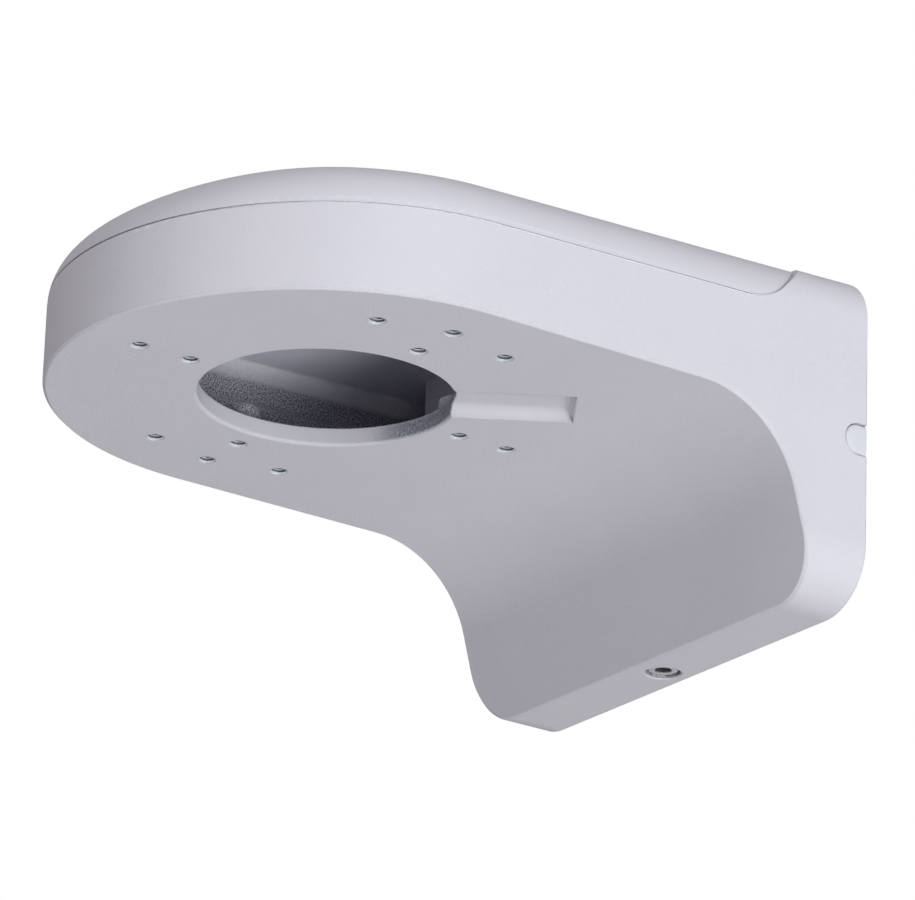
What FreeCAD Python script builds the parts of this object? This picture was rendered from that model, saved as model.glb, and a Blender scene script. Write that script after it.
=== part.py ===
import FreeCAD, Part
import os
from math import acos, cos, degrees, hypot, pi, radians, sin, tan

from FreeCAD import Vector

# Wall bracket for a dome camera: a hollow cast arm with a round nose, on a low wall box.
# X runs across the arm, +Y into the wall, +Z up. The origin is the middle of the wall face.

# Overall sizes of the casting
width = 122.0
reach = 157.6
height = 76.0
arm_height = 35.5
box_bottom_depth = 12.8
box_corner_radius = 13.5
sweep_radius = 25.5
face_lean = 15.5
top_fall = 1.8
crown_start = 25.0
crown_radius = 165.0
top_edge_radius = 11.0
rim_bevel = 0.6
wall = 4.0

# Top cover
cover_depth = 13.0
seat_fall = 1.5
cover_wall = 4.0
cover_inner_bevel = 3.5
seat_bend_back = 32.6
seat_bend_radius = 14.0
seat_back_slope = 45.0
cover_gap = 0.05
shadow_line_height = 0.45
shadow_line_depth = 0.4
ledge_width = 7.0
lip_corner = 4.0

# Seal between cover and casting, in a groove of the casting
seal_width = 1.4
seal_inset = 1.6
seal_groove_depth = 1.2
seal_side_clearance = 0.05

# Cable hole and the pocket beside it
cable_hole_radius = 27.5
cable_hole_offset = 1.0
cable_hole_lip = 0.6
pocket_angle = 57.5
pocket_width = 15.0
pocket_end = 52.8
pocket_depth = 2.6
pocket_fillet = 2.5
pocket_pad = 2.4
pocket_margin = 3.0

# Camera screw holes
small_circle = 68.6
large_circle = 93.6
rectangle_x = 85.2
rectangle_y = 32.0
thread_radius = 2.0
thread_depth = 6.0
boss_radius = 4.5
boss_height = 4.0

# Cover screws, their lugs on the casting and their tabs on the cover
cover_screw_x = 34.0
cover_screw_drop = 6.2
cover_screw_radius = 1.95
cover_screw_length = 8.0
cover_screw_head_radius = 3.5
cover_screw_head_height = 2.6
cover_screw_socket = 2.5
cover_screw_edge = 0.6
cover_screw_hole_radius = 2.25
lug_width = 14.0
lug_thickness = 3.5
lug_height = 11.0
tab_thickness = 5.0

# Hook that holds the front of the cover under a shelf in the nose
hook_span = 24.0
hook_thickness = 2.5
hook_reach = 2.2
hook_height = 2.0
shelf_depth = 2.5
shelf_height = 3.0
shelf_drop = 1.3
hook_clearance = 0.3
hook_overlap = 1.3

# Wall plate
plate_side_room = 11.0
plate_bottom_room = 9.0
plate_top_room = 13.0
plate_thickness = 2.0
plate_corner = 6.0
plate_bend = 1.0
wall_hole_radius = 2.75
wall_hole_inset_x = 12.0
wall_hole_inset_z = 6.0
plate_cable_width = 44.0
plate_cable_height = 26.0
plate_cable_corner = 12.0
tongue_x = 29.0
tongue_width = 13.0
tongue_depth = 8.4
tongue_rise = 6.0
hook_bar_width = 22.0
hook_bar_thickness = 3.4
hook_bar_clearance = 0.3
hook_bar_round = 1.5

# Lock screw under the wall box
lock_x = -2.0
lock_y = 5.9
lock_head_radius = 3.5
lock_head_height = 4.0
lock_shank_radius = 1.95
lock_length = 8.0
lock_recess_radius = 3.9
lock_recess_lip = 0.3
lock_sunk = 0.7
lock_seat = 2.2
lock_hole_radius = 2.25
lock_boss_radius = 4.9
lock_socket = 3.0
lock_screw_edge = 0.4
tab_width = 16.0
tab_gap = 0.3
tab_neck_radius = 3.4
tab_neck_height = 2.0

# Side entry and its plug
notch_z = -1.2
notch_width = 7.2
notch_depth = 5.7
plug_gap = 0.2
plug_flange = 1.5
plug_flange_thickness = 1.5
plug_edge = 0.5

# Gasket in the back of the casting
gasket_width = 2.0
gasket_depth = 1.2
gasket_inset = 1.0

# Screw tips and sockets
tip_chamfer = 0.4
socket_share = 0.6

# Overlap where solids are joined, and how far a cut runs past a face
join = 0.5
past = 1.0

# Least corner radius, and how near a point lies to a face when edges are picked
least_corner = 0.5
on_face = 0.01
near_face = 0.1
near_crown = 0.5
shortest_edge = 0.05

# Levels and places that follow from the sizes above
half = width / 2
bottom = -height / 2
underside = height / 2 - arm_height
floor = underside + wall
nose_y = half - reach
hole_y = nose_y - cable_hole_offset
fall = tan(radians(top_fall))
lean = radians(face_lean)
far = 2 * reach
beyond = nose_y - half - 5
crown_y = nose_y - crown_start
opening_y = -seat_bend_back - ledge_width
plate_half = half - plate_side_room
plate_bottom = bottom + plate_bottom_room
plate_top = height / 2 - plate_top_room
sheet_top = plate_top - 2 * plate_thickness - plate_bend
wall_hole_x = plate_half - wall_hole_inset_x
wall_hole_z = sheet_top - wall_hole_inset_z


def top_at(y):
    """Height of the sloping top above the origin, at this distance from the wall."""
    return height / 2 + y * fall


def crown_centre():
    """Centre of the arc, in the side view, in which the top bends down towards the nose."""
    tilt = radians(top_fall)
    return (crown_y + crown_radius * sin(tilt), top_at(crown_y) - crown_radius * cos(tilt))


def crowned_at(y):
    """Height of the outside's top at this distance from the wall, bent part included."""
    if y > crown_y:
        return top_at(y)
    centre_y, centre_z = crown_centre()
    return centre_z + (crown_radius**2 - (y - centre_y)**2)**0.5


def crown(inset, y):
    """Top line of the side view from beyond the nose up to y, inset downwards."""
    centre_y, centre_z = crown_centre()
    r = crown_radius - inset
    start = 90 + top_fall
    end = degrees(acos((beyond - centre_y) / r))
    bend = [centre_z + r * sin(radians(turn)) for turn in (start, end)]
    return [(beyond, bend[1]), None, arc_middle(centre_y, centre_z, r, start, end),
            (centre_y + r * cos(radians(start)), bend[0]), (y, top_at(y) - inset / cos(radians(top_fall)))]


def seat_at(y):
    """Height of the plane in which cover and casting meet."""
    return top_at(0) - cover_depth + y * tan(radians(seat_fall))


def along_x(points, x0=-far, x1=far):
    """Solid between two X positions, from a closed outline of (y, z) points and arcs."""
    wire = outline([Vector(x0, p[0], p[1]) if p else None for p in points])
    return Part.Face(wire).extrude(Vector(x1 - x0, 0, 0))


def along_y(points, y0=-far, y1=far):
    """Solid between two Y positions, from a closed outline of (x, z) points and arcs."""
    wire = outline([Vector(p[0], y0, p[1]) if p else None for p in points])
    return Part.Face(wire).extrude(Vector(0, y1 - y0, 0))


def along_z(points, z0=-far, z1=far):
    """Solid between two heights, from a closed outline of (x, y) points and arcs."""
    wire = outline([Vector(p[0], p[1], z0) if p else None for p in points])
    return Part.Face(wire).extrude(Vector(0, 0, z1 - z0))


def outline(corners):
    """Closed wire through the corners. None before a point makes that point an arc's middle."""
    edges = []
    count = len(corners)
    here = corners[0]
    i = 1
    while i <= count:
        corner = corners[i % count]
        if corner is None:
            middle = corners[(i + 1) % count]
            end = corners[(i + 2) % count]
            edges.append(Part.Arc(here, middle, end).toShape())
            here = end
            i += 3
        else:
            edges.append(Part.LineSegment(here, corner).toShape())
            here = corner
            i += 1
    return Part.Wire(edges)


def arc_middle(cx, cy, radius, start, end):
    """Point halfway round an arc, from its centre and its two end angles in degrees."""
    turn = radians((start + end) / 2)
    return (cx + radius * cos(turn), cy + radius * sin(turn))


def plan(inset, back):
    """Outline from above, inset from the casting's: two sides, the back and the round nose."""
    x = half - inset
    return [(x, back), (x, nose_y), None, (0, nose_y - x), (-x, nose_y), (-x, back)]


def front(inset):
    """Outline of the wall box from the front, inset from the casting's, round below."""
    x = half - inset
    z = bottom + inset
    r = max(box_corner_radius - inset, least_corner)
    right = arc_middle(x - r, z + r, r, -90, 0)
    return [(-x, far), (-x, z + r), None, (-right[0], right[1]), (-x + r, z),
            (x - r, z), None, right, (x, z + r), (x, far)]


def sweep(inset):
    """Lower side outline from the wall to the nose, inset upwards: box, lean, arc, arm."""
    z_low = bottom + inset
    r = sweep_radius + inset
    centre_z = underside - sweep_radius
    centre_y = -box_bottom_depth
    centre_y += (sin(lean) * (bottom - centre_z) - sweep_radius) / cos(lean)
    touch = (centre_y + r * cos(lean), centre_z + r * sin(lean))
    low = (touch[0] + (touch[1] - z_low) * tan(lean), z_low)
    middle = arc_middle(centre_y, centre_z, r, degrees(lean), 90)
    return [low, touch, None, middle, (centre_y, centre_z + r), (beyond, centre_z + r)]


def seat(gap):
    """Side outline of what lies above the cover's seat, this far off it: plane, bend, slope."""
    r = seat_bend_radius - gap
    tilt = radians(seat_fall)
    slope = radians(seat_back_slope)
    y = -seat_bend_back
    z = seat_at(y) + seat_bend_radius / cos(tilt)
    start = (y + r * sin(tilt), z - r * cos(tilt))
    end = (y + r * sin(slope), z - r * cos(slope))
    middle = arc_middle(y, z, r, seat_fall - 90, seat_back_slope - 90)
    ahead = (-far, start[1] - (far + start[0]) * tan(tilt))
    return [ahead, start, None, middle, end, (end[0] + far / tan(slope), end[1] + far), (-far, 2 * far)]


def pick_edges(shape, wanted, sharp=20):
    """Edges whose middle passes the test and whose two faces meet at more than this angle."""
    picked = []
    for edge in shape.Edges:
        if edge.Length < shortest_edge:
            continue
        middle = edge.valueAt((edge.FirstParameter + edge.LastParameter) / 2)
        if not wanted(middle, edge):
            continue
        faces = shape.ancestorsOfType(edge, Part.Face)
        if len(faces) != 2:
            continue
        normals = [face.normalAt(*face.Surface.parameter(middle)) for face in faces]
        if degrees(normals[0].getAngle(normals[1])) > sharp:
            picked.append(edge)
    return picked


def cylinder(radius, length, place, direction):
    """Round bar from a point along a direction."""
    return Part.makeCylinder(radius, length, Vector(*place), Vector(*direction))


def box(x0, x1, y0, y1, z0, z1):
    """Block between two corners."""
    return Part.makeBox(x1 - x0, y1 - y0, z1 - z0, Vector(x0, y0, z0))


def hexagon(across, depth, place, direction):
    """Hexagonal prism for a screw's socket."""
    frame = FreeCAD.Placement(Vector(*place), FreeCAD.Rotation(Vector(0, 0, 1), Vector(*direction)))
    corner = across / 2 / cos(pi / 6)
    points = [Vector(corner * cos(k * pi / 3), corner * sin(k * pi / 3), 0) for k in range(7)]
    prism = Part.Face(Part.makePolygon(points)).extrude(Vector(0, 0, depth))
    prism.Placement = frame
    return prism


def screw(place, direction, shank_radius, length, head_radius, head_height, socket, edge):
    """Socket screw. The place is under its head, and the direction is the way its point goes."""
    away = Vector(*direction) * -1
    place = Vector(*place)
    head = Part.makeCylinder(head_radius, head_height, place, away)
    rim = pick_edges(head, lambda m, e: (m - place).dot(away) > head_height - on_face)
    head = head.makeChamfer(edge, rim)
    shank = Part.makeCylinder(shank_radius, length + join, place + away * join, away * -1)
    tip = pick_edges(shank, lambda m, e: (place - m).dot(away) > length - near_face)
    shank = shank.makeChamfer(tip_chamfer, tip)
    body = head.fuse(shank).removeSplitter()
    top = place + away * (head_height + past)
    depth = head_height * socket_share + past
    return body.cut(hexagon(socket, depth, tuple(top), tuple(away * -1)))


# Outer form of the casting, before anything is taken out of it

def outer_form(radius, inset=0):
    """Whole outside, cover included, its top edge rounded. Its top and sides may be set in."""
    form = along_x([(0, bottom)] + sweep(0) + crown(inset, 0))
    form = form.common(along_z(plan(inset, 0))).common(along_y(front(0))).removeSplitter()
    rounded = pick_edges(form, lambda m, e: m.z > crowned_at(m.y) - inset - near_face
                         and m.y < -near_face)
    return form.makeFillet(radius - inset, rounded)


def rim_edges(form):
    """Lower outer edges of the arm, the sweep and the wall box."""
    return pick_edges(form, lambda m, e: m.z < underside + on_face and m.y < -near_face)


# Camera screw holes: two circles of four, and a rectangle of four

def camera_holes():
    """Places of the tapped holes in the arm's underside."""
    places = []
    for circle in (small_circle, large_circle):
        for turn in (0, 90, 180, 270):
            r = circle / 2
            places.append((r * cos(radians(turn)), hole_y + r * sin(radians(turn))))
    for side_x in (-1, 1):
        for side_y in (-1, 1):
            places.append((side_x * rectangle_x / 2, hole_y + side_y * rectangle_y / 2))
    return places


def pocket(start, end, half_width, z0, z1):
    """Straight-sided block that runs from the cable hole's centre line at the pocket's angle."""
    block = Part.makeBox(end - start, 2 * half_width, z1 - z0, Vector(start, -half_width, z0))
    block.rotate(Vector(0, 0, 0), Vector(0, 0, 1), pocket_angle)
    block.translate(Vector(0, hole_y, 0))
    return block


def band(inset, thick, back, corner):
    """Closed flat ring from above, this far inside the casting's outline, rounded at the back."""
    def filled(more):
        solid = along_z(plan(inset + more, back - more))
        r = max(corner - more, least_corner)
        upright = pick_edges(solid, lambda m, e: m.y > back - more - near_face and abs(m.z) < past)
        return solid.makeFillet(r, upright)
    return filled(0).cut(filled(thick))


def slab(low, high):
    """Layer that follows the cover's seat, between two distances above it."""
    return along_x([(far, seat_at(far) + low), (far, seat_at(far) + high),
                    (-far, seat_at(-far) + high), (-far, seat_at(-far) + low)])


def back_band(inset, thick, y0, y1):
    """Closed ring round the back of the wall box."""
    def filled(more):
        top = top_at(0) - inset - more
        solid = along_y(front(inset + more), y0, y1)
        solid = solid.common(box(-far, far, y0, y1, bottom - past, top))
        r = max(top_edge_radius - inset - more, least_corner)
        upper = pick_edges(solid, lambda m, e: m.z > top - near_face and y0 < m.y < y1)
        return solid.makeFillet(r, upper)
    return filled(0).cut(filled(thick))


def notch(gap, x0, x1, depth, half_width):
    """U-shaped cut in the side wall, open at the wall face."""
    r = half_width - gap
    y = -depth + half_width
    z = notch_z
    shape = [(0, z - r), (y, z - r), None, (y - r, z), (y, z + r), (0, z + r)]
    return along_x(shape, x0, x1)


def turned_about_nose(profile, span):
    """Ring segment about the axis of the round nose, centred on its tip, from (r, z) points."""
    corners = [Vector(r, 0, z) for r, z in profile]
    face = Part.Face(Part.makePolygon(corners + corners[:1]))
    degrees_span = degrees(span / profile[0][0])
    solid = face.revolve(Vector(0, 0, 0), Vector(0, 0, 1), degrees_span)
    solid.rotate(Vector(0, 0, 0), Vector(0, 0, 1), -90 - degrees_span / 2)
    solid.translate(Vector(0, nose_y, 0))
    return solid


# Bracket body: one hollow casting, open at the back and under the cover

def inner_space():
    """Hollow of the casting: box, sweep and arm, under the ledge and open above the arm."""
    roof = top_at(0) - wall
    space = along_x([(past, roof), (past, bottom + wall)] + sweep(wall) + [(beyond, roof)])
    space = space.common(along_z(plan(wall, past))).common(along_y(front(wall)))
    upper = pick_edges(space, lambda m, e: m.z > roof - near_face and m.y < past - near_face)
    space = space.makeFillet(top_edge_radius - wall, upper)
    ledge = along_x(seat(-wall)).common(box(-far, far, opening_y, far, -far, far))
    return space.cut(ledge)


def bracket_body():
    behind = box(-far, far, -seat_bend_back, far, bottom - past, far)
    body = outer_form(cover_depth).fuse(outer_form(top_edge_radius).common(behind)).removeSplitter()
    body = body.makeChamfer(rim_bevel, rim_edges(body))
    body = body.cut(along_x(seat(0)))
    body = body.cut(inner_space())

    # screw bosses and the pad over the pocket stand on the inside of the arm's floor
    added = [cylinder(boss_radius, boss_height + join, (x, y, floor - join), (0, 0, 1))
             for x, y in camera_holes()]
    pad_half = pocket_width / 2 + pocket_margin
    added.append(pocket(cable_hole_radius, pocket_end + pocket_margin, pad_half,
                        floor - join, floor + pocket_pad))

    # lugs for the cover's screws hang from the ledge
    ledge_z = seat_at(-seat_bend_back) - wall
    for side in (-1, 1):
        x = side * cover_screw_x
        added.append(box(x - lug_width / 2, x + lug_width / 2, opening_y, opening_y + lug_thickness,
                         ledge_z - lug_height, ledge_z + join))

    # shelf that the cover's hook goes under
    rim_z = seat_at(nose_y - half) - shelf_drop
    inner = half - wall
    added.append(turned_about_nose([(inner - shelf_depth, rim_z), (inner + join, rim_z),
                                    (inner + join, rim_z - shelf_height),
                                    (inner - shelf_depth, rim_z - shelf_height)],
                                   hook_span * hook_overlap))

    # bars that hang on the wall plate's tongues, and the lock screw's boss
    bar_front = -tongue_depth + hook_bar_clearance
    for side in (-1, 1):
        x = side * tongue_x
        bar = box(x - hook_bar_width / 2, x + hook_bar_width / 2,
                  bar_front, bar_front + hook_bar_thickness, plate_top, top_at(0) - wall + join)
        foot = pick_edges(bar, lambda m, e: m.z < plate_top + near_face and abs(m.x - x) < near_face)
        added.append(bar.makeFillet(hook_bar_round, foot))
    seat_z = bottom + lock_sunk + lock_head_height + lock_seat
    added.append(cylinder(lock_boss_radius, seat_z - bottom - past, (lock_x, -lock_y, bottom + past),
                          (0, 0, 1)))
    body = body.fuse(added).removeSplitter()

    # cable hole, pocket and tapped holes in the underside
    hole_height = wall + boss_height + 2 * past
    cuts = [cylinder(cable_hole_radius, hole_height, (0, hole_y, underside - past), (0, 0, 1)),
            Part.makeCone(cable_hole_radius + cable_hole_lip, cable_hole_radius, cable_hole_lip,
                          Vector(0, hole_y, underside), Vector(0, 0, 1))]
    groove = pocket(0, pocket_end, pocket_width / 2, underside - past, underside + pocket_depth)
    long_edges = pick_edges(groove, lambda m, e: m.z > underside + pocket_depth - on_face
                            and hypot(m.x, m.y - hole_y) > 1)
    cuts.append(groove.makeFillet(pocket_fillet, long_edges))
    for x, y in camera_holes():
        cuts.append(cylinder(thread_radius, thread_depth + past, (x, y, underside - past), (0, 0, 1)))
    for side in (-1, 1):
        place = (side * cover_screw_x, opening_y - past, ledge_z - cover_screw_drop)
        cuts.append(cylinder(cover_screw_hole_radius, lug_thickness + 2 * past, place, (0, 1, 0)))
    recess = lock_sunk + lock_head_height
    cuts.append(cylinder(lock_recess_radius, recess + past, (lock_x, -lock_y, bottom - past), (0, 0, 1)))
    cuts.append(Part.makeCone(lock_recess_radius + lock_recess_lip, lock_recess_radius, lock_recess_lip,
                              Vector(lock_x, -lock_y, bottom), Vector(0, 0, 1)))
    cuts.append(cylinder(lock_hole_radius, recess + lock_seat + past, (lock_x, -lock_y, bottom), (0, 0, 1)))
    cuts.append(notch(0, half - wall - past, half + past, notch_depth, notch_width / 2))
    cuts.append(back_band(gasket_inset, gasket_width, -gasket_depth, past))
    ring = band(seal_inset, seal_width, opening_y + ledge_width / 2, lip_corner)
    cuts.append(ring.common(slab(-seal_groove_depth, past)))
    return body.cut(cuts).removeSplitter()


# Top cover: thin casting with a full round edge, hooked at the nose and screwed at the back

def top_cover():
    # its lower edge is set back, which leaves a thin shadow line above the casting
    cover = outer_form(cover_depth).common(along_x(seat(shadow_line_height)))
    edge = outer_form(cover_depth, shadow_line_depth).common(along_x(seat(cover_gap)))
    cover = cover.fuse(edge).removeSplitter()
    under_roof = along_x(crown(cover_wall, past) + [(past, floor), (beyond, floor)])
    ahead = box(-far, far, -far, opening_y, floor, far)
    space = along_x(seat(cover_wall)).fuse(ahead).common(under_roof).common(along_z(plan(wall, past)))
    space = space.removeSplitter()
    upper = pick_edges(space, lambda m, e: m.z > crowned_at(m.y) - cover_wall - near_crown
                       and m.y < -seat_bend_back)
    space = space.makeChamfer(cover_inner_bevel, upper)
    cover = cover.cut(space)

    # tabs at the back take the screws
    ledge_z = seat_at(-seat_bend_back) - wall
    added = []
    for side_x in (-1, 1):
        x = side_x * cover_screw_x
        added.append(box(x - lug_width / 2, x + lug_width / 2, opening_y - tab_thickness, opening_y,
                         ledge_z - lug_height, top_at(opening_y) - cover_wall + join))

    # hook at the nose goes under the casting's shelf
    rim_z = seat_at(nose_y - half) - shelf_drop
    outer = half - wall - shelf_depth - hook_clearance
    inner = outer - hook_thickness
    hook_top = rim_z - shelf_height - hook_clearance
    roof_z = crowned_at(nose_y - outer) - cover_wall + join
    added.append(turned_about_nose([(inner, roof_z), (outer, roof_z), (outer, hook_top),
                                    (outer + hook_reach, hook_top),
                                    (outer + hook_reach, hook_top - hook_height),
                                    (inner, hook_top - hook_height)], hook_span))
    cover = cover.fuse(added).removeSplitter()
    cuts = [cylinder(thread_radius, tab_thickness + 2 * past,
                     (side_x * cover_screw_x, opening_y - tab_thickness - past, ledge_z - cover_screw_drop),
                     (0, 1, 0)) for side_x in (-1, 1)]
    return cover.cut(cuts)


def cover_seal():
    """Rubber cord, closed round the opening, in its groove and up to the cover."""
    ring = band(seal_inset + seal_side_clearance, seal_width - 2 * seal_side_clearance,
                opening_y + ledge_width / 2 - seal_side_clearance, lip_corner)
    return ring.common(slab(-seal_groove_depth, cover_gap))


def cover_screws():
    """Two screws through the lugs into the cover's tabs, with their heads towards the wall."""
    z = seat_at(-seat_bend_back) - wall - cover_screw_drop
    return [screw((side * cover_screw_x, opening_y + lug_thickness, z), (0, -1, 0),
                  cover_screw_radius, cover_screw_length, cover_screw_head_radius,
                  cover_screw_head_height, cover_screw_socket, cover_screw_edge) for side in (-1, 1)]


# Wall plate: pressed steel, screwed to the wall, that the casting hangs on

def tongue(x):
    """Hook bent out of the plate's top edge: forward, then up."""
    t = plate_thickness
    deep = -tongue_depth - t
    low = plate_top - t
    root = low - 2 * (plate_bend + t)
    points = [(0, root), (0, low + t), (deep + t, low + t), (deep + t, low + t + tongue_rise),
              (deep, low + t + tongue_rise), (deep, low), (-t, low), (-t, root)]
    hook = along_x(points, x - tongue_width / 2, x + tongue_width / 2)

    def bends(y, z):
        return lambda m, e: abs(m.y - y) < on_face and abs(m.z - z) < on_face

    hook = hook.makeFillet(plate_bend + t, pick_edges(hook, bends(deep, low)))
    hook = hook.makeFillet(plate_bend + t, pick_edges(hook, bends(0, low + t)))
    hook = hook.makeFillet(plate_bend, pick_edges(hook, bends(deep + t, low + t)))
    hook = hook.makeFillet(plate_bend, pick_edges(hook, bends(-t, low)))
    return hook


def wall_plate():
    t = plate_thickness
    sheet = box(-plate_half, plate_half, -t, 0, plate_bottom, sheet_top)
    corners = pick_edges(sheet, lambda m, e: abs(m.y + t / 2) < on_face)
    sheet = sheet.makeFillet(plate_corner, corners)

    # tapped tab for the lock screw, bent forward from the bottom edge
    seat_z = bottom + lock_sunk + lock_head_height + lock_seat
    tab_z = seat_z + tab_gap
    tab_front = -lock_y - tab_neck_radius
    tab = box(lock_x - tab_width / 2, lock_x + tab_width / 2, tab_front, 0, tab_z, tab_z + t)
    web = box(lock_x - tab_width / 2, lock_x + tab_width / 2, -t, 0, tab_z, plate_bottom + join)
    neck = cylinder(tab_neck_radius, tab_neck_height + t, (lock_x, -lock_y, tab_z), (0, 0, 1))
    plate = sheet.fuse([tab, web, neck, tongue(-tongue_x), tongue(tongue_x)]).removeSplitter()

    opening = box(-plate_cable_width / 2, plate_cable_width / 2, -t - past, past,
                  -plate_cable_height / 2, plate_cable_height / 2)
    rounded = pick_edges(opening, lambda m, e: abs(m.y + t / 2) < near_face)
    cuts = [opening.makeFillet(plate_cable_corner, rounded)]
    for side_x in (-1, 1):
        for side_z in (-1, 1):
            place = (side_x * wall_hole_x, past, side_z * wall_hole_z)
            cuts.append(cylinder(wall_hole_radius, t + 2 * past, place, (0, -1, 0)))
    through = t + tab_neck_height + 2 * past
    cuts.append(cylinder(thread_radius, through, (lock_x, -lock_y, tab_z - past), (0, 0, 1)))
    return plate.cut(cuts)


def lock_screw():
    """Socket screw, sunk in the bottom face, that goes up into the wall plate's tab."""
    under_head = bottom + lock_sunk + lock_head_height
    return screw((lock_x, -lock_y, under_head), (0, 0, 1), lock_shank_radius, lock_length,
                 lock_head_radius, lock_head_height, lock_socket, lock_screw_edge)


def side_plug():
    """Soft plug that closes the side entry, flush outside and with a flange inside."""
    outside = notch(plug_gap, half - wall, half, notch_depth, notch_width / 2)
    face_edges = pick_edges(outside, lambda m, e: m.x > half - on_face and m.y < -near_face)
    outside = outside.makeChamfer(plug_edge, face_edges)
    half_flange = notch_width / 2 + plug_flange
    flange = notch(0, half - wall - plug_flange_thickness, half - wall,
                   notch_depth + plug_flange, half_flange)
    plug = outside.fuse(flange).removeSplitter()
    return plug.cut(back_band(gasket_inset, gasket_width, -gasket_depth, past))


def wall_gasket():
    """Foam ring in the back of the casting, pressed on the wall."""
    return back_band(gasket_inset, gasket_width, -gasket_depth, 0)


# Every piece is written to a file of its own

pieces = {
    "bracket_body": bracket_body(),
    "top_cover": top_cover(),
    "cover_seal": cover_seal(),
    "cover_screws": Part.makeCompound(cover_screws()),
    "wall_plate": wall_plate(),
    "wall_gasket": wall_gasket(),
    "lock_screw": lock_screw(),
    "side_entry_plug": side_plug(),
}

os.makedirs("parts", exist_ok=True)
for name, shape in pieces.items():
    shape.exportStep(f"parts/{name}.step")
    box_of = shape.BoundBox
    print(name, "solids", len(shape.Solids), "valid", shape.isValid(), "volume", round(shape.Volume, 1),
          "size", round(box_of.XLength, 2), round(box_of.YLength, 2), round(box_of.ZLength, 2))
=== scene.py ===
from math import cos, pi, radians, sin

import bpy
import numpy as np
from mathutils import Matrix, Vector


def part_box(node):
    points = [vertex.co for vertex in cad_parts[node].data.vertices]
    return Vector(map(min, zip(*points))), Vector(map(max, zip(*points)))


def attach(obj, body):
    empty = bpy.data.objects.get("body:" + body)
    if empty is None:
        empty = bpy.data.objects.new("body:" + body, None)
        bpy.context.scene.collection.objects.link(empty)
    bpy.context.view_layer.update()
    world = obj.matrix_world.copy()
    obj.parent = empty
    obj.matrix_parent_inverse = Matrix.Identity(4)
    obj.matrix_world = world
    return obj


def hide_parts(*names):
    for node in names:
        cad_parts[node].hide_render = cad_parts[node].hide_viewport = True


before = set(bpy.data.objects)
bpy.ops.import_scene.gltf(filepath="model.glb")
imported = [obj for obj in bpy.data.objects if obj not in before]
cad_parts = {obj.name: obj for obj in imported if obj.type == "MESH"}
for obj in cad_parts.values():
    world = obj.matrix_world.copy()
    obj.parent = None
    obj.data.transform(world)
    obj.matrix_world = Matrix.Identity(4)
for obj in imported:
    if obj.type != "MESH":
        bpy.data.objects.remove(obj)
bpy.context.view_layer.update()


# The view: a long lens below the arm, on the side of the cable entry, level but for a slight roll.
# The place and turn follow from the cable hole, the tapped holes and the edges of the bracket.

view_turn, view_rise, view_roll = radians(55.67), radians(-21.17), radians(1.95)
view_place = (1.0025, -0.7481, -0.4708)
view_lens, view_sensor = 238.54, 36.0

view_back = np.array([sin(view_turn) * cos(view_rise), -cos(view_turn) * cos(view_rise),
                      sin(view_rise)])
view_level = np.array([cos(view_turn), sin(view_turn), 0.0])
view_right = cos(view_roll) * view_level + sin(view_roll) * np.cross(view_back, view_level)
view_up = np.cross(view_back, view_right)

camera_data = bpy.data.cameras.new("view")
camera_data.lens = view_lens
camera_data.sensor_width = view_sensor
camera_data.clip_end = 60.0
camera = bpy.data.objects.new("view", camera_data)
camera.matrix_world = Matrix([[*row, place] for row, place in
                              zip(np.stack([view_right, view_up, view_back], 1).tolist(), view_place)]
                             + [[0, 0, 0, 1]])
bpy.context.scene.collection.objects.link(camera)
bpy.context.scene.camera = camera


# The studio: a pale floor well below, a surround that is brighter above in reflections, and three
# soft lamps: one level beside the arm, the strongest one low on that side, a weak one above the nose.

arm_middle = (0.0, -0.08, 0.0)


def soft_lamp(name, place, size, power, tint):
    """Square lamp that faces the bracket from a place, as wide as size."""
    data = bpy.data.lights.new(name, "AREA")
    data.shape = "SQUARE"
    data.size = size
    data.energy = power
    data.color = tint
    lamp = bpy.data.objects.new(name, data)
    lamp.location = place
    aim = Vector(arm_middle) - Vector(place)
    lamp.rotation_euler = aim.to_track_quat("-Z", "Y").to_euler()
    lamp.visible_camera = False
    bpy.context.scene.collection.objects.link(lamp)


soft_lamp("side_lamp", (1.7, -0.1, 0.2), 1.2, 8.9, (0.889, 0.93, 1.0))
soft_lamp("low_lamp", (1.4, -0.2, -0.95), 0.7, 12.7, (0.98, 1.0, 0.996))
soft_lamp("nose_lamp", (0.2, -1.3, 1.0), 1.0, 3.7, (0.962, 0.973, 1.0))

world = bpy.data.worlds.new("surround")
bpy.context.scene.world = world
world.use_nodes = True
tree = world.node_tree
tree.nodes.clear()
direction = tree.nodes.new("ShaderNodeTexCoord")
direction_parts = tree.nodes.new("ShaderNodeSeparateXYZ")
tree.links.new(direction.outputs["Generated"], direction_parts.inputs[0])


def between(tree, value, low, high, out_low=0.0, out_high=1.0):
    """Smooth step of a value from one span to another, and its result."""
    node = tree.nodes.new("ShaderNodeMapRange")
    node.interpolation_type = "SMOOTHSTEP"
    tree.links.new(value, node.inputs["Value"])
    for label, number in (("From Min", low), ("From Max", high),
                          ("To Min", out_low), ("To Max", out_high)):
        node.inputs[label].default_value = number
    return node.outputs["Result"]


def backdrop(tint, strength):
    """Background of one tint and strength."""
    background = tree.nodes.new("ShaderNodeBackground")
    background.inputs["Color"].default_value = tint
    background.inputs["Strength"].default_value = strength
    return background


def mix_shaders(tree, share, first, second):
    """Mix of two shader sockets by a share, and its result."""
    node = tree.nodes.new("ShaderNodeMixShader")
    for place, socket in enumerate((share, first, second)):
        tree.links.new(socket, node.inputs[place])
    return node.outputs[0]


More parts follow.
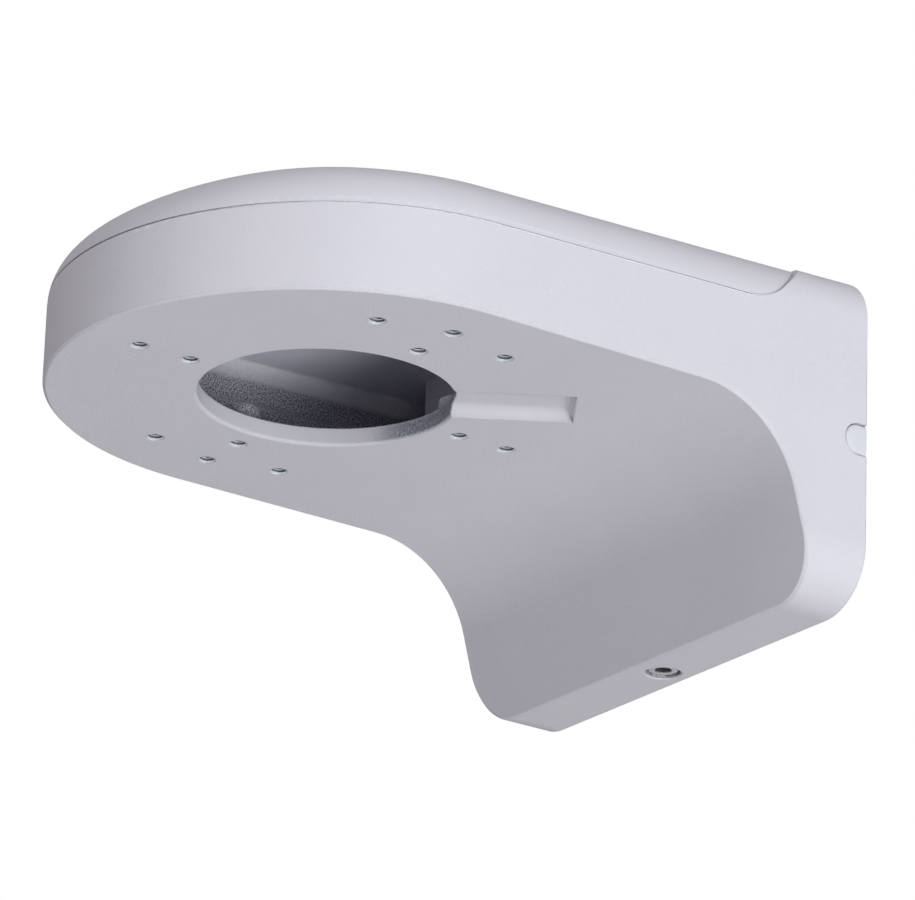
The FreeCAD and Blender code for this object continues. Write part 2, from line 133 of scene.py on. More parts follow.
surround_light = backdrop((1.0, 0.95, 0.96, 1), 0.35)
surround_gloss = backdrop((0.98, 0.98, 1.0, 1), 0.35)
tree.links.new(between(tree, direction_parts.outputs["Z"], 0.0, 0.8, 0.03, 0.35),
               surround_gloss.inputs["Strength"])
surround_seen = backdrop((1, 1, 1, 1), 1.0)
rays = tree.nodes.new("ShaderNodeLightPath")
lit = mix_shaders(tree, rays.outputs["Is Glossy Ray"], surround_light.outputs[0],
                  surround_gloss.outputs[0])
shown = mix_shaders(tree, rays.outputs["Is Camera Ray"], lit, surround_seen.outputs[0])
out = tree.nodes.new("ShaderNodeOutputWorld")
tree.links.new(shown, out.inputs["Surface"])

floor_level, floor_half = -1.4, 14.0
floor_mesh = bpy.data.meshes.new("floor")
floor_mesh.from_pydata([(x * floor_half, y * floor_half, floor_level)
                        for x, y in ((-1, -1), (1, -1), (1, 1), (-1, 1))], [], [(0, 1, 2, 3)])
floor = bpy.data.objects.new("floor", floor_mesh)
bpy.context.scene.collection.objects.link(floor)
floor_paint = bpy.data.materials.new("floor_paint")
floor_paint.use_nodes = True
tree = floor_paint.node_tree
tree.nodes.clear()
floor_matt = tree.nodes.new("ShaderNodeBsdfDiffuse")
floor_matt.inputs["Color"].default_value = (0.82, 0.82, 0.83, 1)
floor_white = tree.nodes.new("ShaderNodeEmission")
floor_white.inputs["Color"].default_value = (0.95, 0.95, 0.955, 1)
rays = tree.nodes.new("ShaderNodeLightPath")
shown = mix_shaders(tree, rays.outputs["Is Camera Ray"], floor_matt.outputs[0],
                    floor_white.outputs[0])
out = tree.nodes.new("ShaderNodeOutputMaterial")
tree.links.new(shown, out.inputs["Surface"])
floor_mesh.materials.append(floor_paint)

bpy.context.scene.view_settings.view_transform = "Standard"


# The casting: die-cast aluminium under a white powder coat, with a fine even grain outside.
# The walls of the hollow are rougher, because the coat reaches them only as a thin, sandy overspray.
# It hangs on the wall plate by two bars and is locked by a screw from below.

def new_group(name, inputs, outputs):
    """Shader node group with named float or vector sockets, and its two end nodes."""
    group = bpy.data.node_groups.new(name, "ShaderNodeTree")
    kinds = {"float": "NodeSocketFloat", "vector": "NodeSocketVector"}
    for side, sockets in (("INPUT", inputs), ("OUTPUT", outputs)):
        for label, kind in sockets.items():
            group.interface.new_socket(name=label, in_out=side, socket_type=kinds[kind])
    return group, group.nodes.new("NodeGroupInput"), group.nodes.new("NodeGroupOutput")


def math_node(tree, operation, *values):
    """Math node whose inputs are linked sockets or plain numbers, and its result."""
    node = tree.nodes.new("ShaderNodeMath")
    node.operation = operation
    for place, value in enumerate(values):
        if isinstance(value, (int, float)):
            node.inputs[place].default_value = value
        else:
            tree.links.new(value, node.inputs[place])
    return node.outputs[0]


def distance_node(tree, first, second):
    """Length of a vector with two parts, and its result."""
    first_square = math_node(tree, "MULTIPLY", first, first)
    second_square = math_node(tree, "MULTIPLY", second, second)
    return math_node(tree, "SQRT", math_node(tree, "ADD", first_square, second_square))


def noise_node(tree, vector, scale, detail, rough=0.5):
    """Noise texture node on a vector, and its factor."""
    node = tree.nodes.new("ShaderNodeTexNoise")
    tree.links.new(vector, node.inputs["Vector"])
    node.inputs["Scale"].default_value = scale
    node.inputs["Detail"].default_value = detail
    node.inputs["Roughness"].default_value = rough
    return node.outputs["Fac"]


def blend_colour(tree, share, first, second):
    """Colour mix of two sockets or plain colours, by a share, and its result."""
    node = tree.nodes.new("ShaderNodeMix")
    node.data_type = "RGBA"
    tree.links.new(share, node.inputs["Factor"])
    for label, value in (("A", first), ("B", second)):
        socket = next(s for s in node.inputs if s.name == label and s.type == "RGBA")
        if isinstance(value, tuple):
            socket.default_value = value
        else:
            tree.links.new(value, socket)
    return next(s for s in node.outputs if s.type == "RGBA")


# Grain of a coat: a fine even sand, a slower orange peel under it, and a faint unevenness of tone.
grain, taken, given = new_group("coat_grain", {"Vector": "vector", "Grain": "float", "Peel": "float"},
                                {"Height": "float", "Tone": "float"})
sand = noise_node(grain, taken.outputs["Vector"], 2200.0, 1.5)
peel = noise_node(grain, taken.outputs["Vector"], 420.0, 2.0)
sand_height = math_node(grain, "MULTIPLY", sand, taken.outputs["Grain"])
peel_height = math_node(grain, "MULTIPLY", peel, taken.outputs["Peel"])
grain.links.new(math_node(grain, "ADD", sand_height, peel_height), given.inputs["Height"])
tone = noise_node(grain, taken.outputs["Vector"], 38.0, 3.0)
grain.links.new(between(grain, tone, 0.3, 0.7), given.inputs["Tone"])


# Where the coat differs and where light and shade are painted, from a place, its face's normal
# and the same normal rounded at the edges.
# Inside is 1 where a face looks at the middle line of the hollow, which lies 15 mm up in the arm,
# drops to the height of the wall box, and ends in the nose. The arm's floor isn't part of it.
nose_y, half_width = -0.0966, 0.061
hole_y, cable_hole_radius = -0.0976, 0.0275
line_front, line_back, line_rise = -0.096, -0.008, 0.015
drop_front, drop_back = -0.046, -0.026

hollow, taken, given = new_group(
    "sand_and_painted_light", {"Vector": "vector", "Flat Normal": "vector", "Round Normal": "vector"},
    {label: "float" for label in ("Inside", "Sandy", "Line", "Shade", "Rim", "Painted Groove Light")})
place_parts, flat_parts, round_parts = [hollow.nodes.new("ShaderNodeSeparateXYZ") for _ in range(3)]
for label, parts in (("Vector", place_parts), ("Flat Normal", flat_parts),
                     ("Round Normal", round_parts)):
    hollow.links.new(taken.outputs[label], parts.inputs[0])
place_x, place_y, place_z = place_parts.outputs
line = hollow.nodes.new("ShaderNodeCombineXYZ")
line_y = math_node(hollow, "MINIMUM", math_node(hollow, "MAXIMUM", place_y, line_front), line_back)
hollow.links.new(line_y, line.inputs["Y"])
hollow.links.new(between(hollow, place_y, drop_front, drop_back, line_rise, 0.0), line.inputs["Z"])
away = hollow.nodes.new("ShaderNodeVectorMath")
away.operation = "SUBTRACT"
hollow.links.new(taken.outputs["Vector"], away.inputs[0])
hollow.links.new(line.outputs[0], away.inputs[1])
facing = hollow.nodes.new("ShaderNodeVectorMath")
facing.operation = "DOT_PRODUCT"
hollow.links.new(away.outputs[0], facing.inputs[0])
hollow.links.new(taken.outputs["Flat Normal"], facing.inputs[1])
faces_line = between(hollow, facing.outputs["Value"], -0.0012, 0.0, 1.0, 0.0)
above_floor = math_node(hollow, "MAXIMUM", between(hollow, place_z, 0.0064, 0.0068),
                        between(hollow, place_y, -0.050, -0.049))
inside = math_node(hollow, "MULTIPLY", faces_line, above_floor)
hollow.links.new(inside, given.inputs["Inside"])

# The highlight line: a painted highlight along the round bend between the hollow's roof and its wall.
level = math_node(hollow, "ABSOLUTE", round_parts.outputs["Z"])
highlight_bend_share = math_node(hollow, "MULTIPLY", between(hollow, level, 0.60, 0.72),
                       between(hollow, level, 0.95, 0.999, 1.0, 0.0))
hollow.links.new(math_node(hollow, "MULTIPLY", inside, highlight_bend_share), given.inputs["Line"])

# Shade: painted shade low on the wall, and at the back on faces that look towards the nose.
low_share = math_node(hollow, "MULTIPLY", between(hollow, place_z, 0.0065, 0.016, 1.0, 0.0),
                      between(hollow, place_y, -0.050, -0.046, 1.0, 0.0))
faces_nose = between(hollow, round_parts.outputs["Y"], -0.9, -0.5, 0.85, 0.24)
back_share = math_node(hollow, "MULTIPLY", between(hollow, place_y, -0.062, -0.046), faces_nose)
painted_shade_share = math_node(hollow, "MAXIMUM", low_share, back_share)
hollow.links.new(math_node(hollow, "MULTIPLY", inside, painted_shade_share), given.inputs["Shade"])

# Rim and Sandy: sand shows on the cable hole's rim towards the wall, and on upright inner faces.
upright = math_node(hollow, "MULTIPLY", between(hollow, level, 0.56, 0.90, 1.0, 0.0),
                    between(hollow, place_z, 0.0250, 0.0362, 1.0, 0.0))
from_hole_y = math_node(hollow, "SUBTRACT", place_y, hole_y)
from_axis = distance_node(hollow, place_x, from_hole_y)
on_rim = math_node(hollow, "MULTIPLY",
                   between(hollow, from_axis, cable_hole_radius - 0.0004, cable_hole_radius - 0.0002),
                   between(hollow, from_axis, cable_hole_radius + 0.0002, cable_hole_radius + 0.0005,
                           1.0, 0.0))
wallwards = math_node(hollow, "ADD", math_node(hollow, "MULTIPLY", place_x, 0.564),
                      math_node(hollow, "MULTIPLY", from_hole_y, 0.826))
rim_sand = math_node(hollow, "MULTIPLY", math_node(hollow, "MULTIPLY", on_rim, upright),
                     between(hollow, wallwards, 0.002, 0.022))
hollow.links.new(rim_sand, given.inputs["Rim"])
hollow.links.new(math_node(hollow, "MAXIMUM", math_node(hollow, "MULTIPLY", inside, upright), rim_sand),
                 given.inputs["Sandy"])

# Groove: painted light in the shaded groove line, on the upright and the downward face just inside the
# outline, which is a half circle at the nose and straight along the sides.
past_nose = math_node(hollow, "MINIMUM", math_node(hollow, "SUBTRACT", place_y, nose_y), 0.0)
reach = distance_node(hollow, place_x, past_nose)
stands = between(hollow, math_node(hollow, "ABSOLUTE", flat_parts.outputs["Z"]), 0.05, 0.15, 1.0, 0.0)
sunk_face = math_node(hollow, "MULTIPLY", stands,
                      between(hollow, reach, half_width - 0.0002, half_width - 0.00005, 1.0, 0.0))
hangs = between(hollow, flat_parts.outputs["Z"], -0.95, -0.85, 1.0, 0.0)
near_edge = math_node(hollow, "MULTIPLY",
                      between(hollow, reach, half_width - 0.0008, half_width - 0.0006),
                      between(hollow, place_z, 0.004, 0.006))
hollow.links.new(math_node(hollow, "MULTIPLY", math_node(hollow, "MAXIMUM", sunk_face, hangs),
                           near_edge), given.inputs["Painted Groove Light"])


def new_material(name):
    """Material with a Principled BSDF and Object coordinates."""
    material = bpy.data.materials.new(name)
    material.use_nodes = True
    tree = material.node_tree
    shader = next(n for n in tree.nodes if n.type == "BSDF_PRINCIPLED")
    place = tree.nodes.new("ShaderNodeTexCoord").outputs["Object"]
    return material, tree, shader, place


def use_group(tree, group, values):
    """Group node with its inputs linked or set, by their names, and its outputs."""
    node = tree.nodes.new("ShaderNodeGroup")
    node.node_tree = group
    for label, value in values.items():
        if isinstance(value, (int, float)):
            node.inputs[label].default_value = value
        else:
            tree.links.new(value, node.inputs[label])
    return node.outputs


def raise_surface(tree, shader, height, distance, normal=None):
    """Bump from a height, by a distance in metres at height 1, on the surface or on a given normal."""
    bump = tree.nodes.new("ShaderNodeBump")
    bump.inputs["Distance"].default_value = distance
    tree.links.new(height, bump.inputs["Height"])
    if normal is not None:
        tree.links.new(normal, bump.inputs["Normal"])
    tree.links.new(bump.outputs[0], shader.inputs["Normal"])


def round_normal(tree, radius):
    """Normal of a surface whose edges are rounded by a radius."""
    node = tree.nodes.new("ShaderNodeBevel")
    node.samples = 4
    node.inputs["Radius"].default_value = radius
    return node.outputs[0]


def blend_normal(tree, share, first, second):
    """Mix of two normals by a share, and its result."""
    node = tree.nodes.new("ShaderNodeMix")
    node.data_type = "VECTOR"
    for label, socket in (("Factor", share), ("A", first), ("B", second)):
        kind = "VALUE" if socket is share else "VECTOR"
        tree.links.new(socket, next(s for s in node.inputs if s.name == label and s.type == kind))
    return next(s for s in node.outputs if s.type == "VECTOR")


def coat_material(name, grain_share, peel_share, gloss):
    """White powder coat. Its grain and gloss differ, and it turns to dark sand on the hollow's walls.
    Its colour also holds painted light: a lighter groove line, a paler coat and a painted highlight in
    the hollow, and painted shade there. Edges below the cover's seat are rounded a little, and those of
    the hollow more."""
    material, tree, shader, place = new_material(name)
    surface = tree.nodes.new("ShaderNodeNewGeometry")
    hollow_normal = round_normal(tree, 0.0018)
    skin = use_group(tree, grain, {"Vector": place, "Grain": grain_share, "Peel": peel_share})
    sand_and_light = use_group(tree, hollow, {"Vector": place, "Flat Normal": surface.outputs["True Normal"],
                                    "Round Normal": hollow_normal})

    # sand with ragged edges, and its specks
    sand = noise_node(tree, place, 3000.0, 2.0, 0.6)
    ragged = math_node(tree, "ADD", sand_and_light["Sandy"], math_node(tree, "MULTIPLY_ADD", sand, 1.4, -0.7))
    sandy_share = between(tree, ragged, 0.25, 0.75)
    bare = blend_colour(tree, sand_and_light["Rim"], (0.17, 0.17, 0.20, 1), (0.21, 0.225, 0.28, 1))
    covered = blend_colour(tree, sand_and_light["Rim"], (0.78, 0.78, 0.87, 1), (0.5, 0.53, 0.62, 1))
    specks = blend_colour(tree, between(tree, sand, 0.42, 0.60), bare, covered)

    # colour, from the outer coat, over painted light in the groove and the hollow, to the sand and
    # painted shade
    outer = blend_colour(tree, skin["Tone"], (0.745, 0.74, 0.80, 1), (0.730, 0.725, 0.785, 1))
    # painted light: the groove line is whitened where it lies in shade
    full = blend_colour(tree, sand_and_light["Painted Groove Light"], outer, (0.98, 0.98, 1.0, 1))
    # painted light: a paler coat inside the hollow brightens it where little light reaches
    inner = blend_colour(tree, sand_and_light["Inside"], full, (0.80, 0.805, 0.89, 1))
    # painted highlight along the round bend between the hollow's roof and its wall
    highlighted = blend_colour(tree, sand_and_light["Line"], inner, (0.95, 0.965, 1.0, 1))
    coat = blend_colour(tree, sandy_share, highlighted, specks)
    # painted shade: darker low on the hollow's walls and at its back
    painted_shade_amount = math_node(tree, "MULTIPLY", sand_and_light["Shade"], 0.55)
    tree.links.new(blend_colour(tree, painted_shade_amount, coat, (0.1, 0.1, 0.12, 1)), shader.inputs["Base Color"])

    # gloss: given outside, dull inside, and less dull along the painted highlight in the bend
    dull = tree.nodes.new("ShaderNodeMix")
    dull.inputs["A"].default_value = gloss
    tree.links.new(sand_and_light["Inside"], dull.inputs["Factor"])
    tree.links.new(between(tree, sand_and_light["Line"], 0.0, 1.0, 0.55, 0.3), dull.inputs["B"])
    tree.links.new(dull.outputs["Result"], shader.inputs["Roughness"])
    shader.inputs["Specular IOR Level"].default_value = 0.35

    # relief: the outer grain, and five times as much on the sand
    coarse = math_node(tree, "MULTIPLY", math_node(tree, "MULTIPLY", sand, 5.0), sandy_share)
    place_parts = tree.nodes.new("ShaderNodeSeparateXYZ")
    tree.links.new(place, place_parts.inputs[0])
    below_seat = between(tree, place_parts.outputs["Z"], 0.015, 0.019, 1.0, 0.0)
    outside = blend_normal(tree, below_seat, surface.outputs["Normal"], round_normal(tree, 0.0005))
    normal = blend_normal(tree, sand_and_light["Inside"], outside, hollow_normal)
    raise_surface(tree, shader, math_node(tree, "ADD", skin["Height"], coarse), 0.00003, normal)
    return material


casting_coat = coat_material("casting_coat", 2.9, 0.5, 0.46)


def dress(node, material):
    """Gives a solid of the frame its material."""
    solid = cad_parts[node]
    solid.data.materials.clear()
    solid.data.materials.append(material)
    solid.data.polygons.foreach_set("material_index", [0] * len(solid.data.polygons))


dress("bracket_body", casting_coat)


# Threads of the twelve camera holes: M4, cut into the bare metal after the coat was baked.
# Each is a thin sleeve in its plain hole, from the underside up, with its ridges on the inside.

def closed_grid(points):
    """Quads of a grid of points (rows, columns, 3) that closes on itself both ways."""
    rows, columns = points.shape[:2]
    row, column = np.meshgrid(np.arange(rows), np.arange(columns), indexing="ij")
    next_row, next_column = (row + 1) % rows, (column + 1) % columns
    corners = [row * columns + column, row * columns + next_column,
               next_row * columns + next_column, next_row * columns + column]
    return points.reshape(-1, 3), np.stack(corners, -1).reshape(-1, 4)


def new_piece(name, points, faces, material, depth=None, crease=30.0):
    """Piece from points and faces (triangles or quads), smooth but for edges sharper than the crease.
    Its attribute depth tells the material where a socket or a thread lies in shade."""
    mesh = bpy.data.meshes.new(name)
    mesh.from_pydata(points.tolist(), [], [face for part in faces for face in part.tolist()])
    mesh.materials.append(material)
    mesh.polygons.foreach_set("use_smooth", [True] * len(mesh.polygons))
    mesh.set_sharp_from_angle(angle=radians(crease))
    if depth is not None:
        mesh.attributes.new("depth", "FLOAT", "POINT").data.foreach_set("value", depth.ravel().tolist())
    mesh.validate()
    piece = bpy.data.objects.new(name, mesh)
    bpy.context.scene.collection.objects.link(piece)
    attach(piece, "root")
    return piece


underside = 0.0025
hole_radius, thread_depth, thread_pitch, thread_rise = 0.002, 0.00036, 0.0007, 0.0056
small_circle, large_circle, rectangle_x, rectangle_y = 0.0686, 0.0936, 0.0852, 0.032


def thread_wave(turns):
    """Height of a thread's ridge, 0 to 1, from turns along the helix. The slopes are cut off by flat
    crests and roots."""
    return np.clip(1.3 * (1 - np.abs(2 * (turns % 1.0) - 1)) - 0.1, 0, 1)


def thread_sleeves():
    """Sleeves in all twelve holes. Inside, the radius is the hole's less the ridge, which winds up by
    one pitch a turn and fades out at the mouth. Outside, the radius is just under the hole's.
    The depth for the material is painted shade: it is the ridge's absence, and grows past the mouth."""
    rows, columns = 73, 48
    rise = np.linspace(0, thread_rise, rows)[:, None]
    turn = np.arange(columns)[None, :] * 2 * pi / columns
    winding = rise / thread_pitch - turn / (2 * pi) + 0.25
    ridge = thread_wave(winding) * np.clip(rise / (0.5 * thread_pitch), 0, 1)
    skin = hole_radius - 0.00001
    radius = np.vstack([skin - 0.00002 - thread_depth * ridge, np.full((2, columns), skin)])
    level = np.vstack([rise, [[thread_rise], [0.0]]])
    sleeve = np.stack([radius * np.cos(turn), radius * np.sin(turn), level + 0 * turn], -1)
    past_mouth = np.clip(rise / thread_pitch - 0.35, 0, 1)
    root = (1 - ridge) * np.clip(3 * past_mouth, 0, 1)
    shade = np.vstack([root + 0.2 * past_mouth, np.ones((2, columns))])
    centres = [(r / 2 * cos(k * pi / 2), hole_y + r / 2 * sin(k * pi / 2))
               for r in (small_circle, large_circle) for k in range(4)]
    centres += [(side * rectangle_x / 2, hole_y + end * rectangle_y / 2)
                for side in (-1, 1) for end in (-1, 1)]
    points, faces = closed_grid(sleeve)
    offsets = np.array([(x, y, underside) for x, y in centres])
    all_points = (points[None] + offsets[:, None]).reshape(-1, 3)
    first = len(points) * np.arange(len(centres))[:, None, None]
    all_faces = (faces[None] + first).reshape(-1, 4)
    return all_points, all_faces, np.tile(np.clip(shade, 0, 1).ravel(), len(centres))


def depth_share(tree, low, high):
    """Share of shade, 0 to 1, from a piece's own attribute depth."""
    depth = tree.nodes.new("ShaderNodeAttribute")
    depth.attribute_name = "depth"
    return between(tree, depth.outputs["Fac"], low, high)


bare_metal, tree, shader, place = new_material("bare_metal")
cut_marks = noise_node(tree, place, 1400.0, 3.0)
ridges = blend_colour(tree, cut_marks, (0.72, 0.76, 0.83, 1), (0.86, 0.90, 0.97, 1))
# painted shade: the thread's roots and the hole past its mouth are darkened
roots = depth_share(tree, 0.25, 0.8)
tree.links.new(blend_colour(tree, roots, ridges, (0.24, 0.25, 0.29, 1)), shader.inputs["Base Color"])
shader.inputs["Metallic"].default_value = 0.2
tree.links.new(between(tree, cut_marks, 0.3, 0.7, 0.28, 0.42), shader.inputs["Roughness"])
sleeve_points, sleeve_faces, sleeve_depth = thread_sleeves()
new_piece("camera_threads", sleeve_points, [sleeve_faces], bare_metal, sleeve_depth)


# The top cover: a thinner casting in the same white, with a smoother coat and a full round edge.
# It lies on a rubber cord and is held by a hook in the nose and two screws from the back.

cover_coat = coat_material("cover_coat", 1.2, 0.3, 0.42)
dress("top_cover", cover_coat)

seal_rubber, tree, shader, place = new_material("seal_rubber")
bloom = noise_node(tree, place, 260.0, 3.0)
tree.links.new(blend_colour(tree, bloom, (0.016, 0.016, 0.018, 1), (0.035, 0.035, 0.038, 1)),
               shader.inputs["Base Color"])
shader.inputs["Roughness"].default_value = 0.7
dress("cover_seal", seal_rubber)


# Stainless cap screws: two hold the cover, and a third, sunk in the wall box, locks the bracket.
# Heads are turned and knurled, their sockets are pressed, and the threads are rolled.

steel, tree, shader, place = new_material("stainless_steel")
turned = noise_node(tree, place, 900.0, 4.0)
bright = blend_colour(tree, turned, (0.74, 0.75, 0.78, 1), (0.90, 0.91, 0.94, 1))
# painted shade in the socket, between the knurl's teeth and in the thread's grooves
tree.links.new(blend_colour(tree, depth_share(tree, 0.1, 0.9), bright, (0.10, 0.10, 0.11, 1)),
               shader.inputs["Base Color"])
shader.inputs["Metallic"].default_value = 0.3
tree.links.new(between(tree, turned, 0.3, 0.7, 0.22, 0.38), shader.inputs["Roughness"])


def cap_screw(place, way, head_radius, head_height, shank_radius, length, socket):
    """Screw turned about its axis. Its outline goes from the middle of the socket's floor, up the
    hexagonal wall, over the face and the rim, down the knurled side, and along the thread to the tip.
    The radius is the outline's, less a triangle wave round the knurl, less a helix on the thread.
    Each row has its radius, its level, and its shares of hexagon, knurl and thread. The shade for the
    material is painted shade, dark in the socket, between the knurl's teeth and along the thread's
    grooves."""
    columns, teeth = 216, 36
    knurl_depth, ridge_depth = 0.00016, 0.00034
    face, socket_floor = head_height, head_height * 0.4
    mouth, rim = socket / 1.6, 0.0006
    thread_top, thread_end = -0.0004, 0.0004 - length
    rows = [(0.0002, socket_floor - 0.0003, 1, 0, 0), (socket / 2, socket_floor, 1, 0, 0),
            (socket / 2, face - 0.0003, 1, 0, 0), (mouth, face, 0, 0, 0),
            (head_radius - rim, face, 0, 0.5, 0), (head_radius - 0.4 * rim, face - 0.15 * rim, 0, 1, 0),
            (head_radius, face - 0.6 * rim, 0, 1, 0), (head_radius, 0.0005, 0, 1, 0),
            (head_radius - 0.0003, 0.0, 0, 0, 0), (shank_radius, 0.0, 0, 0, 0)]
    rows += [(shank_radius, level, 0, 0, 1) for level in np.linspace(thread_top, thread_end, 90)]
    rows += [(shank_radius - 0.0004, -length, 0, 0, 0), (0.0002, -length, 0, 0, 0)]
    radius, level, hexed, knurled, threaded = [column[:, None] for column in np.array(rows).T]
    turn = np.arange(columns)[None, :] * 2 * pi / columns
    hexagon = 1 / np.cos((turn % (pi / 3)) - pi / 6)
    tooth = np.abs(2 * ((turn * teeth / (2 * pi)) % 1.0) - 1)
    helix = 1 - thread_wave(level / thread_pitch - turn / (2 * pi))
    across = (radius * (1 + hexed * (hexagon - 1)) - knurl_depth * knurled * tooth
              - ridge_depth * threaded * helix)
    dark = np.array([1.0, 1.0, 1.0, 0.35] + [0.0] * (len(rows) - 4))[:, None]
    shade = np.clip(dark + 0.8 * knurled * tooth + 0.8 * threaded * helix + 0 * turn, 0, 1)
    back = -np.array(way, float)
    side = np.array([back[1], back[2], back[0]])
    other = np.cross(back, side)
    grid = (np.array(place, float) + across[..., None] * (np.cos(turn)[..., None] * side
            + np.sin(turn)[..., None] * other) + level[..., None] * back)
    count = len(rows)
    row, column = np.meshgrid(np.arange(count - 1), np.arange(columns), indexing="ij")
    beside = (column + 1) % columns
    quads = np.stack([row * columns + column, (row + 1) * columns + column,
                      (row + 1) * columns + beside, row * columns + beside], -1).reshape(-1, 4)
    ends = np.stack([grid[0].mean(0), grid[-1].mean(0)])
    first, after = np.arange(columns), (np.arange(columns) + 1) % columns
    last = (count - 1) * columns
    caps = [np.stack([np.full(columns, count * columns), first, after], -1),
            np.stack([np.full(columns, count * columns + 1), last + after, last + first], -1)]
    return np.vstack([grid.reshape(-1, 3), ends]), [quads, *caps], np.append(shade.ravel(), [1.0, 0.0])


head_radius, shank_radius, screw_length = 0.0035, 0.00195, 0.008
lock_place, lock_head_height, lock_socket = (-0.002, -0.0059, -0.0333), 0.004, 0.0032
points, faces, depth = cap_screw(lock_place, (0, 0, 1), head_radius, lock_head_height, shank_radius,
                                 screw_length, lock_socket)
lock = new_piece("lock_cap_screw", points, faces, steel, depth)
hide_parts("lock_screw")

cover_screw_x, cover_head_height, cover_socket = 0.034, 0.0026, 0.0025
cover_low, cover_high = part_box("cover_screws")
seat_y = float(cover_high[1]) - cover_head_height
screw_z = (float(cover_low[2]) + float(cover_high[2])) / 2
left, right = [cap_screw((x, seat_y, screw_z), (0, -1, 0), head_radius, cover_head_height, shank_radius,
                         screw_length, cover_socket) for x in (-cover_screw_x, cover_screw_x)]
pair_faces = left[1] + [part + len(left[0]) for part in right[1]]
cover_pair = new_piece("cover_cap_screws", np.vstack([left[0], right[0]]), pair_faces, steel,
                       np.append(left[2], right[2]))
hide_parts("cover_screws")


# The wall plate: pressed sheet steel with a bright zinc coat, screwed to the wall through four holes.
# The bracket hangs on its two hooks.

zinc, tree, shader, place = new_material("zinc_plate")
spangle = tree.nodes.new("ShaderNodeTexVoronoi")
spangle.inputs["Scale"].default_value = 190.0
tree.links.new(place, spangle.inputs["Vector"])
patches = blend_colour(tree, spangle.outputs["Color"], (0.56, 0.57, 0.59, 1), (0.61, 0.62, 0.64, 1))
tree.links.new(patches, shader.inputs["Base Color"])
shader.inputs["Metallic"].default_value = 1.0
tree.links.new(between(tree, noise_node(tree, place, 300.0, 3.0), 0.3, 0.7, 0.28, 0.46),
               shader.inputs["Roughness"])
dress("wall_plate", zinc)


# The wall gasket: a die-cut ring of closed-cell foam, pressed between the casting's rim and the wall.
# Its sides bulge a little and are pitted where cells were cut open.

foam, tree, shader, place = new_material("wall_foam")
cells = tree.nodes.new("ShaderNodeTexVoronoi")
cells.inputs["Scale"].default_value = 1500.0
tree.links.new(place, cells.inputs["Vector"])
pits = between(tree, cells.outputs["Distance"], 0.1, 0.6)
worn = blend_colour(tree, noise_node(tree, place, 140.0, 3.0), (0.05, 0.05, 0.055, 1),
                    (0.09, 0.09, 0.095, 1))
tree.links.new(blend_colour(tree, pits, (0.012, 0.012, 0.013, 1), worn), shader.inputs["Base Color"])
shader.inputs["Roughness"].default_value = 0.9
raise_surface(tree, shader, pits, 0.00012)


def gasket_ring():
    """Ring along a rounded rectangle. Each corner is a quarter circle about its own centre, and the
    section stands on the outward direction: a rectangle with round corners and bulging sides."""
    side, low, high, low_radius, high_radius = 0.059, -0.036, 0.036, 0.0115, 0.009
    half_section, thickness, corner, bulge = 0.00092, 0.0012, 0.00035, 0.00005
    quarter = np.linspace(0, pi / 2, 25)
    middles = [(side - high_radius, high - high_radius), (high_radius - side, high - high_radius),
               (low_radius - side, low + low_radius), (side - low_radius, low + low_radius)]
    radii = np.repeat([high_radius, high_radius, low_radius, low_radius], len(quarter))
    angle = np.concatenate([quarter + k * pi / 2 for k in range(4)])
    middle = np.repeat(np.array(middles), len(quarter), axis=0)
    turn = np.concatenate([np.linspace(k * pi / 2, (k + 1) * pi / 2, 7) for k in range(4)])
    corner_x = np.repeat([1, -1, -1, 1], 7) * (half_section - corner)
    corner_y = np.repeat([1, 1, -1, -1], 7) * (thickness / 2 - corner)
    across = corner_x + corner * np.cos(turn)
    along = corner_y + corner * np.sin(turn)
    across = across + bulge * np.sign(across) * (1 - (2 * along / thickness) ** 2)
    reach = radii[None, :] + across[:, None]
    grid = np.stack([middle[:, 0] + reach * np.cos(angle), along[:, None] - thickness / 2 + 0 * reach,
                     middle[:, 1] + reach * np.sin(angle)], -1)
    return closed_grid(grid)


gasket_points, gasket_faces = gasket_ring()
gasket = new_piece("foam_gasket", gasket_points, [gasket_faces[:, ::-1]], foam)
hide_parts("wall_gasket")


# The side entry plug: moulded in soft white plastic, flush with the wall and a little pillowed.
# It is pushed in from inside until its flange stops it, and the gasket runs over its back.

plug_plastic, tree, shader, place = new_material("plug_plastic")
skin = use_group(tree, grain, {"Vector": place, "Grain": 0.15, "Peel": 0.3})
clean = blend_colour(tree, skin["Tone"], (0.75, 0.765, 0.82, 1), (0.735, 0.75, 0.805, 1))
# painted shade on the plug's round edge and sides, where they sink into the gap round it
gap_shade = depth_share(tree, 0.0, 1.0)
tree.links.new(blend_colour(tree, gap_shade, clean, (0.42, 0.42, 0.45, 1)), shader.inputs["Base Color"])
shader.inputs["Roughness"].default_value = 0.45
raise_surface(tree, shader, skin["Height"], 0.00002)


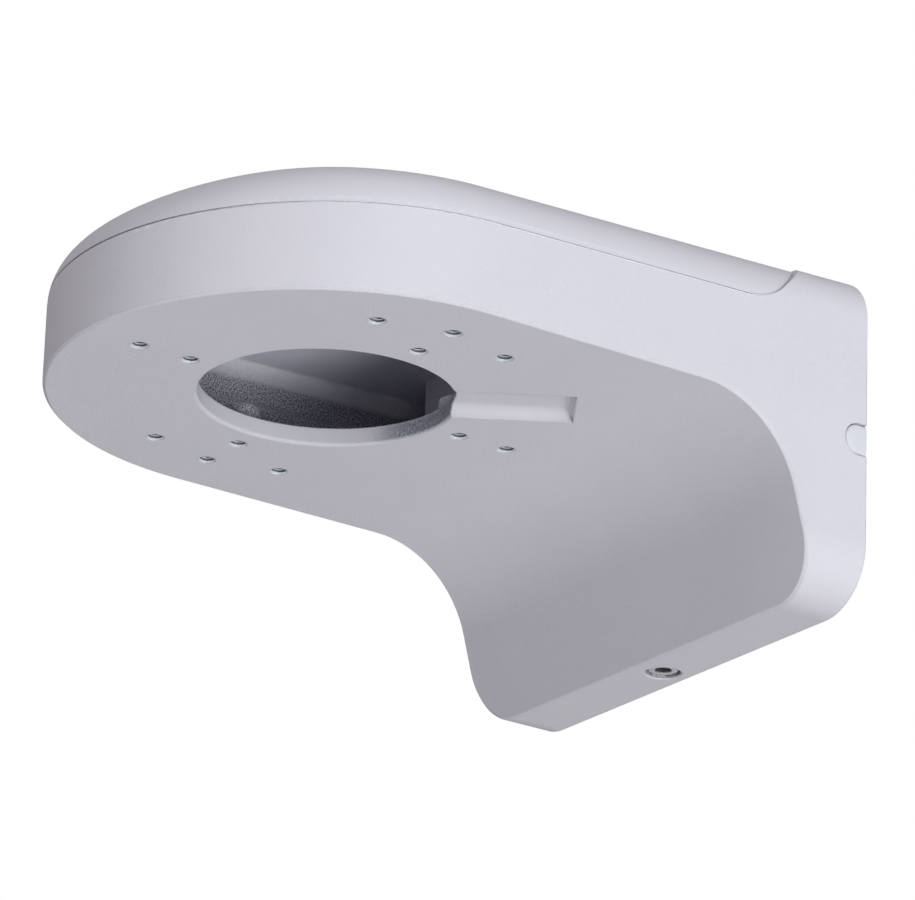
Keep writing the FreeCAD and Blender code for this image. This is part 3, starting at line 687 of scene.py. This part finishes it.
def plug_body():
    """Rows of nested U outlines, from the middle of the outer face over its round edge, down the sides
    with a step for the gasket, round the flange, to the middle of the inner face. Each outline is a
    half circle of the row's radius and two straight legs that end at the row's back. A row has, in
    millimetres, its place across the bracket, its radius and its back, and then its shade."""
    rows = np.array([(61.0, 0.05, 0.0, 0.0), (60.99, 1.4, 0.0, 0.0), (60.96, 2.2, 0.0, 0.0),
                     (60.9, 2.75, 0.0, 0.05), (60.8, 3.1, 0.0, 0.15), (60.65, 3.32, 0.0, 0.4),
                     (60.4, 3.42, 0.0, 0.7), (60.05, 3.43, 0.0, 0.7), (60.04, 3.43, -1.25, 0.7),
                     (57.96, 3.43, -1.25, 0.7), (57.95, 3.43, 0.0, 0.7), (57.05, 3.43, 0.0, 0.7),
                     (56.95, 3.5, 0.0, 0.3), (56.95, 4.9, 0.0, 0.1), (56.85, 5.0, 0.0, 0.0),
                     (55.6, 5.0, 0.0, 0.0), (55.5, 4.9, 0.0, 0.0), (55.5, 0.05, 0.0, 0.0)])
    place_x, radius, back, shade = [column[:, None] for column in rows.T]
    bend, height = -2.1, -1.2
    turn = np.linspace(-pi / 2, pi / 2, 41)[None, :]
    arc_y, arc_z = bend - radius * np.cos(turn), height + radius * np.sin(turn)
    leg = np.linspace(0, 1, 9)[None, :]
    low_y, high_y = back + (bend - back) * leg[:, :-1], bend + (back - bend) * leg[:, 1:]
    end_z = height + radius * (1 - 2 * leg[:, 1:-1])
    y = np.hstack([low_y, arc_y, high_y, back + 0 * end_z])
    z = np.hstack([height - radius + 0 * low_y, arc_z, height + radius + 0 * high_y, end_z])
    grid = np.stack([place_x + 0 * y, y, z], -1) * 0.001
    points, quads = closed_grid(grid)
    columns = y.shape[1]
    ends = [np.arange(columns)[None, ::-1], np.arange(len(points) - columns, len(points))[None]]
    return points, [quads[:-columns], *ends], (shade + 0 * y).ravel()


plug_points, plug_faces, plug_depth = plug_body()
plug = new_piece("flush_plug", plug_points, plug_faces, plug_plastic, plug_depth)
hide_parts("side_entry_plug")
